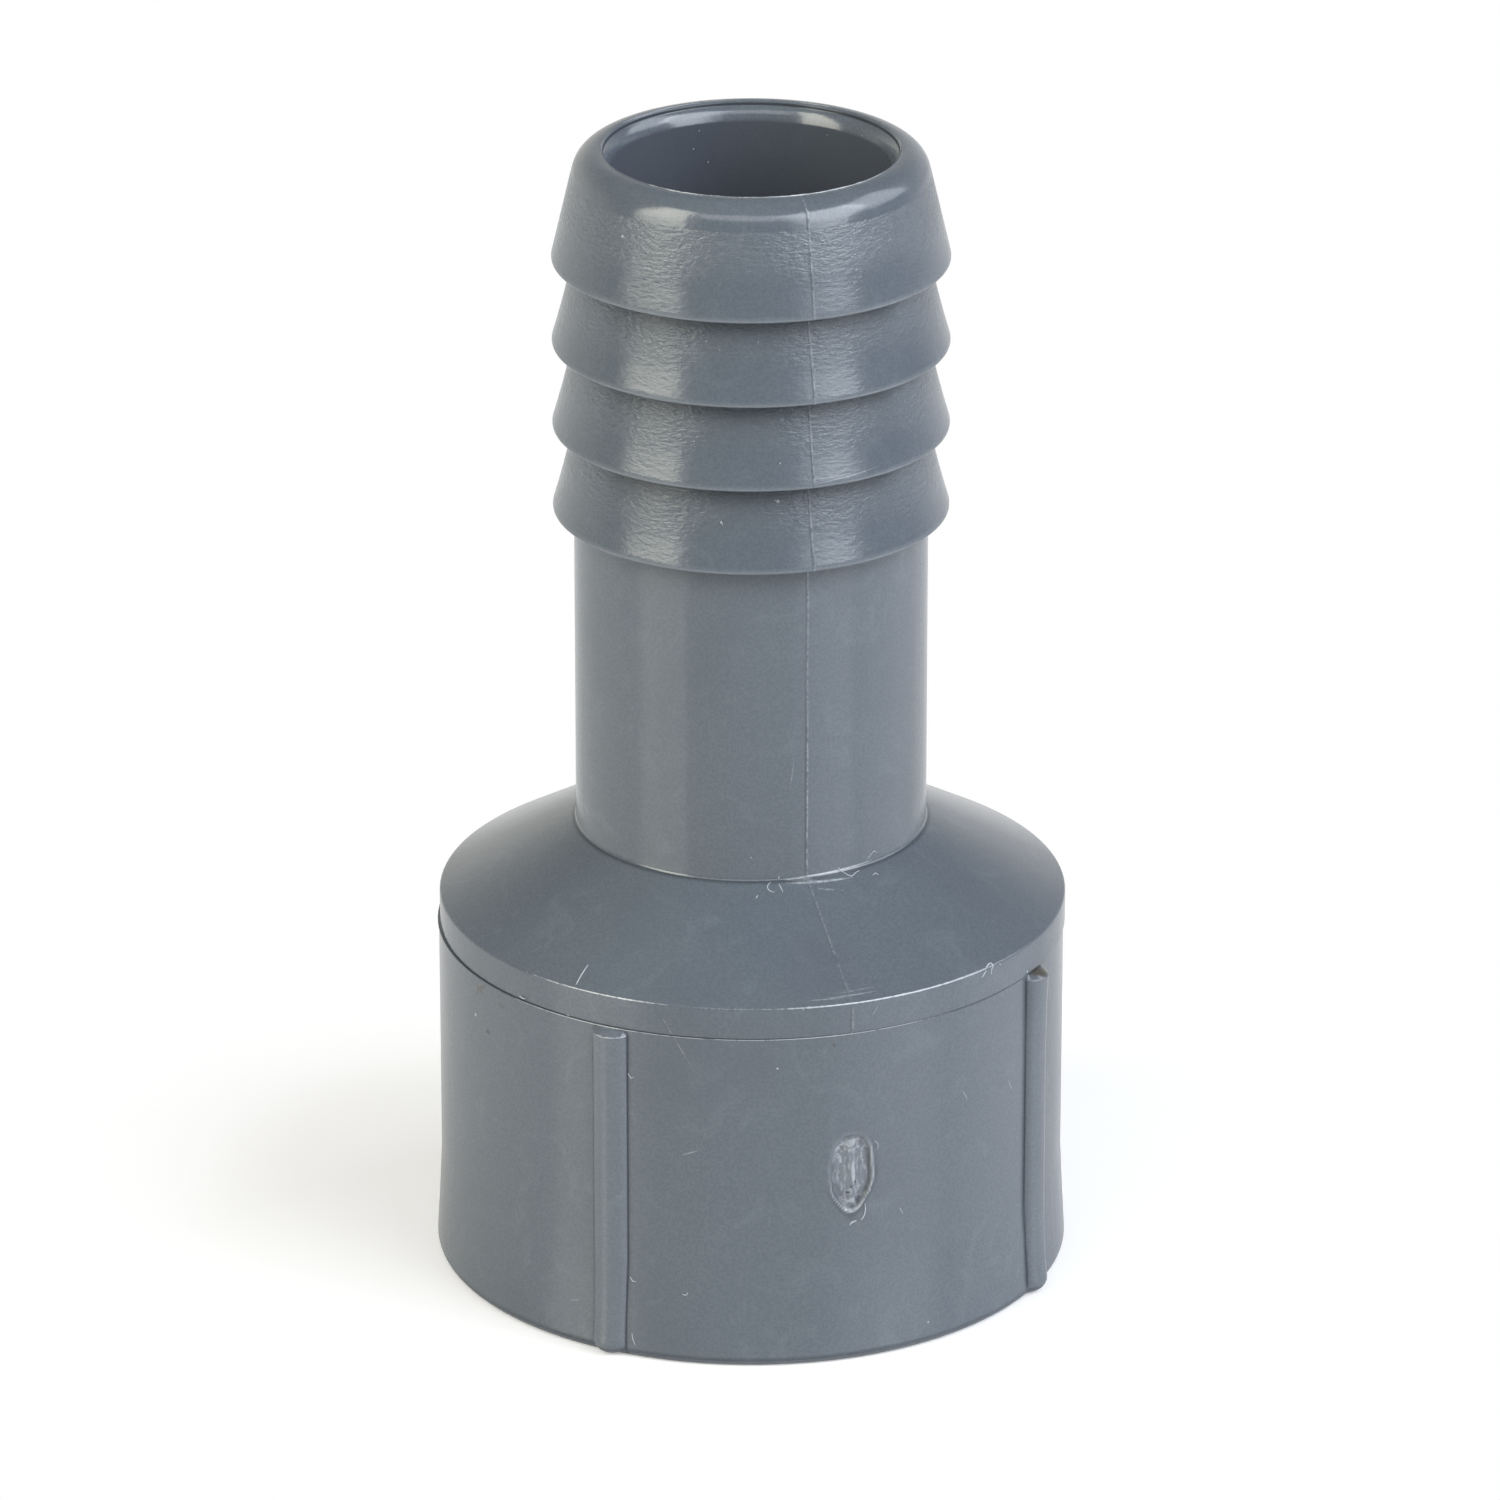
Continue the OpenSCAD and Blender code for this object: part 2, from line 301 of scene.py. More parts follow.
# %% Helpers for node trees
class Tree:
    """Builds one node group and keeps its sockets at hand."""

    def __init__(self, name, kind="GeometryNodeTree", tree=None):
        self.group = tree or bpy.data.node_groups.new(name, kind)
        self.nodes = self.group.nodes

    def sockets(self, kind, *names, way="INPUT", **defaults):
        """Adds sockets of one kind. In the names that come with a default, _ stands for a space."""
        plain = [(name, None) for name in names]
        for name, default in plain + [(key.replace("_", " "), value) for key, value in defaults.items()]:
            item = self.group.interface.new_socket(name=name, in_out=way, socket_type="NodeSocket" + kind)
            if default is not None:
                item.default_value = default

    def given(self):
        """What comes in through the group's inputs."""
        return self.nodes.new("NodeGroupInput").outputs

    def hand_out(self, **results):
        """Joins the results to the group's outputs."""
        outputs = self.nodes.new("NodeGroupOutput").inputs
        for name, value in results.items():
            self.join(value, outputs[name])

    def node(self, kind, out=0, feed=None, **settings):
        made = self.nodes.new(kind)
        for key, value in settings.items():
            setattr(made, key, value)
        for key, value in (feed or {}).items():
            self.join(value, made.inputs[key])
        return made.outputs[out] if out is not None else made

    def join(self, value, socket):
        if isinstance(value, bpy.types.NodeSocket):
            self.group.links.new(value, socket)
        else:
            socket.default_value = value

    def math(self, operation, *values, clamp=False):
        return self.node("ShaderNodeMath", feed=dict(enumerate(values)), operation=operation,
                         use_clamp=clamp)

    def chain(self, operation, values):
        total = values[0]
        for value in values[1:]:
            total = self.math(operation, total, value)
        return total

    def add(self, *values):
        return self.chain("ADD", values)

    def mul(self, *values):
        return self.chain("MULTIPLY", values)

    def most(self, *values):
        return self.chain("MAXIMUM", values)

    def sub(self, a, b):
        return self.math("SUBTRACT", a, b)

    def div(self, a, b):
        return self.math("DIVIDE", a, b)

    def square(self, a):
        return self.math("MULTIPLY", a, a)

    def bell(self, distance, width):
        """1 on the line and nearly 0 one and a half widths away."""
        return self.math("EXPONENT", self.mul(self.square(self.div(distance, width)), -1))

    def step(self, value, low, high):
        """Rises smoothly from 0 at low to 1 at high."""
        return self.node("ShaderNodeMapRange", feed={"Value": value, "From Min": low, "From Max": high},
                         interpolation_type="SMOOTHSTEP")

    def ramp(self, value, *limits):
        """Runs in a straight line between two limits, from 0 to 1 or between two more."""
        keys = ("From Min", "From Max", "To Min", "To Max")
        return self.node("ShaderNodeMapRange", feed={"Value": value, **dict(zip(keys, limits))})

    def noise(self, place, scale, detail, **more):
        return self.node("ShaderNodeTexNoise", feed={"Vector": place, "Scale": scale, "Detail": detail,
                                                     **more})

    def vector(self, operation, a, b=None, out=0):
        return self.node("ShaderNodeVectorMath", feed={0: a} if b is None else {0: a, 1: b},
                         operation=operation, out=out)

    def place(self, x, y, z=0.0):
        return self.node("ShaderNodeCombineXYZ", feed={0: x, 1: y, 2: z})

    def axes(self, place):
        """The three numbers of a place."""
        return self.node("ShaderNodeSeparateXYZ", out=None, feed={0: place}).outputs

    def blend(self, share, first, second):
        """Mixes two colours by a share."""
        return self.node("ShaderNodeMix", out=2, feed={0: share, 6: first, 7: second}, data_type="RGBA")

    def show(self, shader, kind):
        """Joins a shader to the output of a material or a world."""
        self.join(shader, self.nodes.new("ShaderNodeOutput" + kind).inputs["Surface"])


def emptied(data):
    """The node tree of a material or a world, without what it starts with."""
    data.use_nodes = True
    data.node_tree.nodes.clear()
    return Tree(data.name, tree=data.node_tree)


def put(name, data):
    """A new object in the scene."""
    made = bpy.data.objects.new(name, data)
    bpy.context.scene.collection.objects.link(made)
    return made


def run_tree(holder, name, tree, values):
    """Adds a modifier that runs a node tree, and sets its inputs by their sockets' identifiers."""
    modifier = holder.modifiers.new(name, "NODES")
    modifier.node_group = tree.group
    for item in tree.group.interface.items_tree:
        if item.item_type == "SOCKET" and item.in_out == "INPUT" and item.name in values:
            modifier[item.identifier] = values[item.name]


def settle(holder, name):
    """Turns what a node tree has grown into a plain mesh at the origin."""
    bpy.context.view_layer.update()
    grown = holder.evaluated_get(bpy.context.evaluated_depsgraph_get())
    mesh = bpy.data.meshes.new_from_object(grown)
    for modifier in list(holder.modifiers):
        holder.modifiers.remove(modifier)
    bpy.data.objects.remove(holder)
    mesh.name = name
    return put(name, mesh)


print("helpers ready")

# %% [markdown]
# ## The vinyl
# Rigid vinyl for water pipes is a slate grey with a low, even sheen: the steel mould prints its own
# finish on it. The colour wanders a little where hot plastic flowed slowly past cold steel. The
# material gets its groups further on, but the skin's tree needs its name first.

# %% An empty material for the skin
vinyl = bpy.data.materials.new("grey_vinyl")
vinyl.use_nodes = True
print("material:", vinyl.name)

# %% [markdown]
# ## A tree that swings the outline and shapes the wall
# The tree makes a flat grid with one point for each row and column, then looks up every point's
# row and angle and moves it into place. Where a rib passes, the wall swells up to the rib's round
# back. Along the parting lines a thin ridge rises where plastic crept between the mould halves. The
# gate, where the plastic came in, is a torn oval. Last, the grid's ends are welded shut.

# %% The skin's node tree: inputs, rows and columns
skin = Tree("moulded_skin")
skin.sockets("Geometry", "Geometry")
skin.sockets("Int", Rows=100, Columns=100)
skin.sockets("Float", Rib_angle=0.0, Rib_radius=0.9, Rib_root=0.12, Foot_height=1.0, Seam_angle=0.0,
             Seam_height=0.045, Seam_width=0.05, Gate_height=9.0, Gate_half_width=1.0,
             Gate_half_length=1.9, Collar_shift=0.03, Thread_pitch=1.8, Thread_depth=1.4,
             Thread_radius=9.0, Thread_length=16.0, Entry_radius=10.8, Bend_angle=0.6)
skin.sockets("Material", "Material")
skin.sockets("Geometry", "Geometry", way="OUTPUT")
source = skin.given()

index = skin.node("GeometryNodeInputIndex")
column, line = (
    skin.node("FunctionNodeIntegerMath", feed={0: index, 1: source["Rows"]}, operation=operation)
    for operation in ("DIVIDE_FLOOR", "MODULO"))
angle_at = skin.node("FunctionNodeIntegerMath", feed={0: source["Rows"], 1: column}, operation="ADD")


def look_up(name, where):
    """One note of the plan, read at a row or at a column."""
    note = skin.node("GeometryNodeInputNamedAttribute", feed={"Name": name}, data_type="FLOAT")
    return skin.node("GeometryNodeSampleIndex", data_type="FLOAT", domain="POINT",
                     feed={"Geometry": source["Geometry"], "Value": note, "Index": where})


place = skin.node("GeometryNodeSampleIndex", data_type="FLOAT_VECTOR", domain="POINT",
                  feed={"Geometry": source["Geometry"], "Value": skin.node("GeometryNodeInputPosition"),
                        "Index": line})
plain_r, _, plain_z = skin.axes(place)
angle = look_up("angle", angle_at)
turns = look_up("turns", line)
full_turn = skin.div(angle, 2 * math.pi)
cosine, sine = skin.math("COSINE", angle), skin.math("SINE", angle)
print("inputs:", len(source) - 1, "- nodes so far:", len(skin.nodes))

# %% [markdown]
# ## The thread in formulas
# A pipe thread is a groove on a slightly tapering wall. Each point knows how many turns it has
# climbed, so its height is that number times the pitch. Its radius follows the sharp sixty-degree
# form, fades out near the end of the core pin, and never comes inside the countersunk entry.

# %% The thread
climb = skin.mul(skin.sub(skin.add(turns, full_turn), 1.0), source["Thread pitch"])
thread_z = skin.math("MINIMUM", skin.most(climb, 0.0), source["Thread length"])
phase = skin.math("FRACT", skin.sub(skin.div(thread_z, source["Thread pitch"]), full_turn))
fold = skin.math("MINIMUM", phase, skin.sub(1.0, phase))
groove = skin.ramp(fold, 0.04, 0.46)
# the last turns run out between these heights, and the radius tapers by 1 in 32
FADE_FROM, FADE_TO, TAPER = 12.6, 15.2, 32.0
fade = skin.sub(1.0, skin.step(thread_z, FADE_FROM, FADE_TO))
thread_crest = skin.sub(source["Thread radius"], skin.div(thread_z, TAPER))
thread_r = skin.add(thread_crest, skin.mul(groove, fade, source["Thread depth"]))
thread_r = skin.most(thread_r, skin.sub(source["Entry radius"], thread_z))
in_thread = skin.math("GREATER_THAN", turns, -0.5)
out_thread = skin.sub(1.0, in_thread)
z = skin.add(skin.mul(thread_z, in_thread), skin.mul(plain_z, out_thread))
base_r = skin.add(skin.mul(thread_r, in_thread), skin.mul(plain_r, out_thread))
print("nodes so far:", len(skin.nodes))

# %% [markdown]
# ## Ribs, parting line and gate in formulas
# Seen from above, a rib is part of a circle whose centre lies inside the wall. A ray from the axis
# meets that circle at a distance that a square root gives. Taking the larger of wall and rib, with a
# soft corner between them, is just what the mould's cutter left: a round groove with a small radius
# at its edge. At the foot the circle shrinks like a ball, because the cutter's end was round.

# %% Ribs
reach_r = look_up("rib", line)
rib_turn = skin.math("WRAP", skin.sub(angle, source["Rib angle"]), math.pi / 4, -math.pi / 4)
from_waist = skin.square(skin.div(skin.sub(z, WAIST_Z), WAIST_REACH))
rib_r = skin.sub(source["Rib radius"], skin.mul(from_waist, 0.05))
rib_axis = skin.sub(reach_r, rib_r)
aside = skin.mul(rib_axis, skin.math("SINE", rib_turn))
below = skin.most(skin.sub(source["Foot height"], z), 0.0)
below = skin.mul(below, skin.div(rib_r, source["Foot height"]))
room = skin.sub(skin.square(rib_r), skin.add(skin.square(aside), skin.square(below)))
rib_back = skin.add(skin.mul(rib_axis, skin.math("COSINE", rib_turn)),
                    skin.math("SQRT", skin.most(room, 0.0)))
on_rib = skin.math("GREATER_THAN", reach_r, 1.0)
rib_back = skin.mul(rib_back, on_rib)
wall_r = skin.math("SMOOTH_MAX", base_r, rib_back, skin.mul(source["Rib root"], on_rib))
print("nodes so far:", len(skin.nodes))

# %% [markdown]
# The parting line is a ridge a few hundredths of a millimetre high. It waxes and wanes, because the
# halves of a worn mould close tighter in some places. The gate is where a sprue was twisted off: a
# shallow torn dish with a raised lip, whitened because vinyl crazes when it is pulled apart.

# %% Parting line, gate and lip
spot = skin.place(skin.mul(wall_r, cosine), skin.mul(wall_r, sine), z)


def waver(scale, detail, where=spot):
    """A noise that runs evenly to both sides of 0."""
    return skin.sub(skin.noise(where, scale, detail), 0.5)


seam_turn = skin.math("WRAP", skin.sub(angle, source["Seam angle"]), math.pi / 2, -math.pi / 2)
seam_side = skin.mul(wall_r, skin.math("SINE", seam_turn))
wander = skin.mul(waver(0.35, 2.0), 0.12)
seam_line = skin.bell(skin.sub(seam_side, wander), source["Seam width"])
seam_share = skin.mul(look_up("seam", line), skin.add(0.75, skin.mul(waver(1.1, 3.0), 1.6)))
ridge = skin.mul(seam_line, skin.most(seam_share, 0.0))

gate_turn = skin.math("WRAP", skin.sub(angle, source["Seam angle"]), math.pi, -math.pi)
gate_x = skin.div(skin.mul(gate_turn, wall_r), source["Gate half width"])
gate_z = skin.div(skin.sub(z, source["Gate height"]), source["Gate half length"])
below_gate = skin.most(skin.mul(gate_z, -1), 0.0)
narrow = skin.add(1.0, skin.mul(skin.square(below_gate), below_gate, 0.75))
torn = waver(1.6, 4.0)
fibres = waver(2.6, 2.0, skin.vector("MULTIPLY", spot, (1.6, 1.6, 0.3)))
wide = skin.math("ABSOLUTE", skin.mul(gate_x, narrow))
tall = skin.math("ABSOLUTE", gate_z)
# between an ellipse and a box, as a gate is milled
ROUND = 2.7
gate_far = skin.add(skin.math("POWER", wide, ROUND), skin.math("POWER", tall, ROUND))
gate_far = skin.add(skin.math("POWER", gate_far, 1 / ROUND), skin.mul(torn, 0.16))
outside = skin.math("GREATER_THAN", wall_r, WALL_R - 1)
gate_in = skin.mul(skin.sub(1.0, skin.step(gate_far, 0.78, 0.93)), outside)
lower_side = skin.step(skin.sub(skin.mul(gate_x, 0.6), gate_z), -0.6, 0.3)
gate_lip = skin.mul(skin.bell(skin.sub(gate_far, 0.96), 0.05), outside,
                    skin.add(0.1, skin.mul(lower_side, 0.9)))
inner_shadow = skin.bell(skin.sub(gate_far, 0.85), 0.06)
outer_shadow = skin.mul(skin.bell(skin.sub(gate_far, 1.08), 0.06), 0.7)
gate_shadow = skin.mul(skin.add(inner_shadow, outer_shadow), outside, lower_side, 0.75)
spine = skin.mul(skin.bell(skin.add(gate_x, skin.mul(torn, 0.5)), 0.22), gate_in)
gate_depth = skin.add(skin.mul(gate_in, skin.add(-0.15, skin.mul(torn, 0.3), skin.mul(fibres, 0.25))),
                      skin.mul(gate_lip, 0.09), skin.mul(spine, 0.14))
print("nodes so far:", len(skin.nodes))

# %% [markdown]
# ## Everything together
# The radius is now wall, ridge and gate added up. The collar is pushed aside by its own small shift,
# and the flash on the lip gets a ragged edge. The worn places, the painted shade and the painted crest
# highlight are saved as attributes that the material reads. The tree ends by welding the seams and
# marking sharp edges.

# %% Assemble the skin
side_shift = skin.mul(look_up("shift", line), source["Collar shift"], cosine)
radius = skin.add(wall_r, skin.mul(ridge, source["Seam height"]), gate_depth, side_shift)
rag = skin.mul(look_up("fuzz", line), skin.most(waver(2.2, 4.0), -0.5), 0.09)
high = skin.sub(z, skin.math("ABSOLUTE", rag))
where = skin.place(skin.mul(radius, cosine, MM), skin.mul(radius, sine, MM), skin.mul(high, MM))
grid = skin.node("GeometryNodeMeshGrid", feed={"Size X": 1.0, "Size Y": 1.0,
                                               "Vertices X": source["Columns"],
                                               "Vertices Y": source["Rows"]})
body = skin.node("GeometryNodeSetPosition", feed={"Geometry": grid, "Position": where})
# painted shade along the ribs' feet, strongest on the flank that turns towards the front
half_rib = skin.math("SQRT", skin.most(skin.sub(
    skin.square(rib_r), skin.square(skin.sub(base_r, rib_axis))), 0.0))
beside = skin.sub(skin.math("ABSOLUTE", skin.mul(base_r, skin.math("SINE", rib_turn))), half_rib)
root = skin.add(skin.mul(skin.bell(beside, 0.07), 0.75), skin.mul(skin.bell(beside, 0.22), 0.25))
inner_flank = skin.math("LESS_THAN", skin.mul(rib_turn, cosine), 0.0)
root = skin.mul(root, skin.step(beside, -0.03, 0.0), on_rib, skin.add(0.12, skin.mul(inner_flank, 0.88)))
below_barbs = skin.step(z, 35.2, 34.8)
# painted shade: a thin dark line beside the parting ridge, stronger below the barbs
beside_seam = skin.mul(skin.bell(skin.add(skin.sub(seam_side, wander), 0.07), 0.04), seam_share,
                       skin.add(0.15, skin.mul(below_barbs, 0.35)))
# the painted shade under the barbs is strong within 45 degrees of the front, and faint from 55 degrees on
in_front = skin.step(sine, -0.56, -0.72)
shade = skin.mul(look_up("shade", line), skin.add(0.12, skin.mul(in_front, 0.88)))
# all of this is painted shade: rib feet, parting ridge, the rows' grooves, round the gate and under the
# barbs
crease = skin.most(root, beside_seam, look_up("crease", line), gate_shadow, shade)
# a painted highlight along the crests' lower edges, towards the front only
crest_highlight = skin.mul(look_up("crest", line), in_front)
rib_face = skin.mul(skin.step(skin.sub(rib_back, base_r), 0.0, 0.08), on_rib)
burr = skin.add(look_up("burr", line), skin.mul(look_up("crown", line), rib_face))
for name, value in (("torn", gate_in), ("lip", gate_lip), ("ridge", ridge), ("crease", crease),
                    ("burr", burr), ("rib_face", rib_face), ("crest_highlight", crest_highlight)):
    body = skin.node("GeometryNodeStoreNamedAttribute", data_type="FLOAT", domain="POINT",
                     feed={"Geometry": body, "Name": name, "Value": value})
body = skin.node("GeometryNodeMergeByDistance", feed={"Geometry": body, "Distance": 1e-7})
bend = skin.node("GeometryNodeInputMeshEdgeAngle", out="Unsigned Angle")
soft = skin.math("LESS_THAN", bend, source["Bend angle"])
body = skin.node("GeometryNodeSetShadeSmooth", feed={0: body, "Shade Smooth": True}, domain="FACE")
body = skin.node("GeometryNodeSetShadeSmooth", feed={0: body, "Shade Smooth": soft}, domain="EDGE")
body = skin.node("GeometryNodeRealizeInstances", feed={0: body})
body = skin.node("GeometryNodeSetMaterial", feed={"Geometry": body, "Material": source["Material"]})
skin.hand_out(Geometry=body)
print("nodes in the tree:", len(skin.nodes))

# %% [markdown]
# ## Growing the skin
# The modifier gets the real sizes, and its result becomes a plain mesh. The skin takes the place of
# the solid in the picture, and the solid stays for the physics. Its volume and its open edges are
# printed, because a skin that is turned inside out or not shut would show there first. A second
# modifier weighs the normals by face size, so the narrow faces don't ripple the wide ones.

# %% Grow the skin
plan_object = put("skin_plan", plan)
run_tree(plan_object, "grow", skin, {
    "Rows": len(rows), "Columns": len(angles), "Rib angle": math.radians(RIB_ANGLE), "Rib radius": RIB_R,
    "Rib root": 0.03, "Foot height": 0.7, "Seam angle": math.radians(SEAM_ANGLE), "Seam height": 0.032,
    "Seam width": 0.036, "Gate height": GATE_Z, "Gate half width": 1.03, "Gate half length": 1.9,
    "Collar shift": 0.058, "Thread pitch": THREAD_PITCH, "Thread depth": THREAD_DEPTH,
    "Thread radius": THREAD_R, "Thread length": INNER_Z, "Entry radius": ENTRY_R,
    "Bend angle": math.radians(38), "Material": vinyl})
even = plan_object.modifiers.new("even_normals", "WEIGHTED_NORMAL")
even.keep_sharp = True
skin_piece = settle(plan_object, "barb_skin")
mesh = skin_piece.data
volume = sum(p.center.dot(p.normal) * p.area for p in mesh.polygons) / 3
open_edges = len(mesh.edges) * 2 - sum(len(p.vertices) for p in mesh.polygons)
print("faces", len(mesh.polygons), "triangles", sum(len(p.vertices) - 2 for p in mesh.polygons),
      "volume mm3", round(volume / MM ** 3, 1), "open edges", open_edges)
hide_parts("barb_body")
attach(skin_piece, "root")

# %% [markdown]
# ## Colour of the vinyl
# The pigment is stirred in cold, so it is never quite even. A slow noise moves the grey a little
# towards light and dark, and a second one pulls thin swirls out of it, the way plastic flowed. A
# third, very fine one is the grain of the pigment itself.

# %% Shader group: tone
tone = Tree("vinyl_tone", "ShaderNodeTree")
tone.sockets("Vector", "Place")
tone.sockets("Color", Base=(0.15, 0.18, 0.21, 1), Pale=(0.2, 0.23, 0.26, 1), Deep=(0.12, 0.15, 0.18, 1))
tone.sockets("Float", Amount=0.3, Grain=0.4)
tone.sockets("Color", "Color", way="OUTPUT")
source = tone.given()
slow = tone.noise(source["Place"], 0.16, 2.0)
swirl = tone.noise(source["Place"], 0.5, 3.0, Distortion=1.4)
grain = tone.noise(source["Place"], 9.0, 1.0)
paler = tone.add(tone.mul(tone.step(swirl, 0.52, 0.75), source["Amount"]),
                 tone.mul(tone.step(grain, 0.38, 0.62), source["Grain"]))
deeper = tone.mul(tone.step(slow, 0.5, 0.3), source["Amount"])
toned = tone.blend(paler, source["Base"], source["Pale"])
tone.hand_out(Color=tone.blend(deeper, toned, source["Deep"]))
print("tone group:", len(tone.nodes), "nodes")

# %% [markdown]
# ## Flow marks
# Plastic that fills a barb last arrives half cold and wrinkles against the steel. The wrinkles are
# far too shallow to feel, yet they break up a highlight. They are strong on the upper half of each
# barb and faint elsewhere, so the group asks for the tail's heights, the barbs' pitch and the bore.

# %% Shader group: flow marks
flow = Tree("flow_marks", "ShaderNodeTree")
flow.sockets("Vector", "Place")
flow.sockets("Float", From_height=35.0, To_height=51.0, Pitch=3.85, Radius=8.0, Bore_radius=6.1)
flow.sockets("Float", "Height", way="OUTPUT")
source = flow.given()
squeezed = flow.vector("MULTIPLY", source["Place"], (1.0, 1.0, 2.4))
wrinkle = flow.noise(squeezed, 2.6, 3.0, Roughness=0.62)
pimples = flow.noise(source["Place"], 5.0, 2.0)
at_height = flow.axes(source["Place"])["Z"]
on_tail = flow.mul(flow.step(at_height, flow.sub(source["From height"], 0.6), source["From height"]),
                   flow.step(at_height, source["To height"], flow.sub(source["To height"], 1.0)),
                   flow.step(flow.sub(source["Radius"], source["Bore radius"]), 0.7, 1.1))
above_root = flow.sub(at_height, source["From height"])
up_ramp = flow.math("FRACT", flow.div(above_root, source["Pitch"]))
folded = flow.mul(on_tail, flow.add(0.2, flow.step(up_ramp, 0.3, 0.75)))
total = flow.add(flow.mul(wrinkle, flow.add(0.03, folded)), flow.mul(pimples, 0.048))
flow.hand_out(Height=total)
print("flow group:", len(flow.nodes), "nodes")

# %% [markdown]
# ## Scratches and stains
# Loose fittings rub against each other in a bag, and each touch leaves a pale hairline. Along the
# neck's fillet the pale lines are partly scratches and partly a painted highlight. A turned part is
# easy to unroll: azimuth becomes one direction on paper and height the other. On that paper a
# scratch is a short line, and the group measures how far a point lies from it.

# %% Shader groups: the unrolled surface, and one scratch on it
unroll = Tree("unrolled", "ShaderNodeTree")
unroll.sockets("Vector", "Place")
unroll.sockets("Vector", "Paper", way="OUTPUT")
unroll.sockets("Float", "Radius", way="OUTPUT")
along_x, along_y, along_z = unroll.axes(unroll.given()["Place"])
azimuth = unroll.math("ARCTAN2", along_x, unroll.mul(along_y, -1))
from_axis = unroll.math("SQRT", unroll.add(unroll.square(along_x), unroll.square(along_y)))
unroll.hand_out(Paper=unroll.place(azimuth, along_z), Radius=from_axis)

hair = Tree("scratch", "ShaderNodeTree")
hair.sockets("Vector", "Paper", "Start", "Span")
hair.sockets("Float", Per_length_squared=1.0, Width=0.05, Strength=1.0, Broken=0.0, Crumbs=0.0)
hair.sockets("Float", "Mask", way="OUTPUT")
source = hair.given()
from_start = hair.vector("SUBTRACT", source["Paper"], source["Start"])
share = hair.math("MULTIPLY", hair.vector("DOT_PRODUCT", from_start, source["Span"], "Value"),
                  source["Per length squared"], clamp=True)
nearest = hair.node("ShaderNodeVectorMath", feed={0: source["Span"], "Scale": share}, operation="SCALE")
gap = hair.vector("LENGTH", hair.vector("SUBTRACT", from_start, nearest), out="Value")
# the ends are pointed, because there the gap counts for more
pointed = hair.math("MULTIPLY_ADD", hair.square(hair.sub(share, 0.5)),
                    hair.mul(source["Width"], 2.4), gap)
inside = hair.node("ShaderNodeMapRange", interpolation_type="SMOOTHSTEP", feed={
    "Value": pointed, "From Min": source["Width"], "From Max": hair.mul(source["Width"], 0.3),
    "To Max": source["Strength"]})
kept = hair.sub(1.0, hair.mul(source["Crumbs"], source["Broken"]))
hair.hand_out(Mask=hair.mul(inside, kept))
print("scratch group:", len(hair.nodes), "nodes")

# %% [markdown]
# ## Dust
# Grey vinyl charges itself and collects dust. A cell pattern in space gives each cell one dot, and
# only a few cells are allowed to show theirs. Most specks are pale and a few are brown.

# %% Shader group: specks
specks = Tree("specks", "ShaderNodeTree")
specks.sockets("Vector", "Place")
specks.sockets("Float", Scale=0.8, Share=0.1, Size=0.06)
specks.sockets("Float", "Mask", way="OUTPUT")
source = specks.given()
cells = specks.node("ShaderNodeTexVoronoi", out=None, feed={"Vector": source["Place"],
                                                            "Scale": source["Scale"]})
pick = specks.node("ShaderNodeSeparateColor", out=None, feed={0: cells.outputs["Color"]}).outputs
chosen = specks.math("LESS_THAN", pick[0], source["Share"])
size = specks.mul(source["Size"], specks.add(0.4, pick[1]), source["Scale"])
dot = specks.sub(1.0, specks.step(specks.div(cells.outputs["Distance"], size), 0.6, 1.0))
specks.hand_out(Mask=specks.mul(dot, chosen))
print("specks group:", len(specks.nodes), "nodes")

# %% [markdown]
# ## The material put together
# The groups hand over colours and masks, and the surface itself stays one Principled shader: an
# insulator with an even, half-gloss finish. The pale edges, partly crazed flash and partly a painted
# highlight, are only paler, but the torn gate is rougher too, because crazed plastic scatters light
# in every direction. Painted shade darkens the grooves, the corners and the roots of ribs and barbs
# and dims their sheen, and it darkens the bore.

# %% The vinyl material
paint = emptied(vinyl)


def use(group, out=0, **values):
    """Puts a group into the material and feeds it."""
    made = paint.nodes.new("ShaderNodeGroup")
    made.node_tree = group.group
    for key, value in values.items():
        paint.join(value, made.inputs[key.replace("_", " ")])
    return made.outputs[out] if out is not None else made.outputs


def scratches(radius, *lines):
    """One mask for several scratches. Azimuth 0 is the front and grows to the right."""
    mask = 0.0
    flat_paper = paint.vector("MULTIPLY", paper, (radius, 1, 0))
    for start, stop, width, strength, broken in lines:
        start, stop = (Vector((math.radians(turn) * radius, level, 0)) for turn, level in (start, stop))
        mark = use(hair, Paper=flat_paper, Start=start, Span=stop - start, Width=width, Strength=strength,
                   Per_length_squared=1 / (stop - start).length_squared, Broken=broken, Crumbs=crumbs)
        mask = paint.most(mark, mask)
    return mask


def strip(value, *stops):
    """A strength that follows the azimuth in degrees, given as stops."""
    share = paint.add(paint.mul(value, 1 / math.pi), 0.5)
    ramp_node = paint.node("ShaderNodeValToRGB", out=None, feed={0: share})
    marks = ramp_node.color_ramp.elements
    for place, level in stops:
        mark = marks.new(place / 180 + 0.5)
        mark.color = (level, level, level, 1)
    marks[0].color = marks[len(marks) - 1].color = (0, 0, 0, 1)
    return ramp_node.outputs[0]


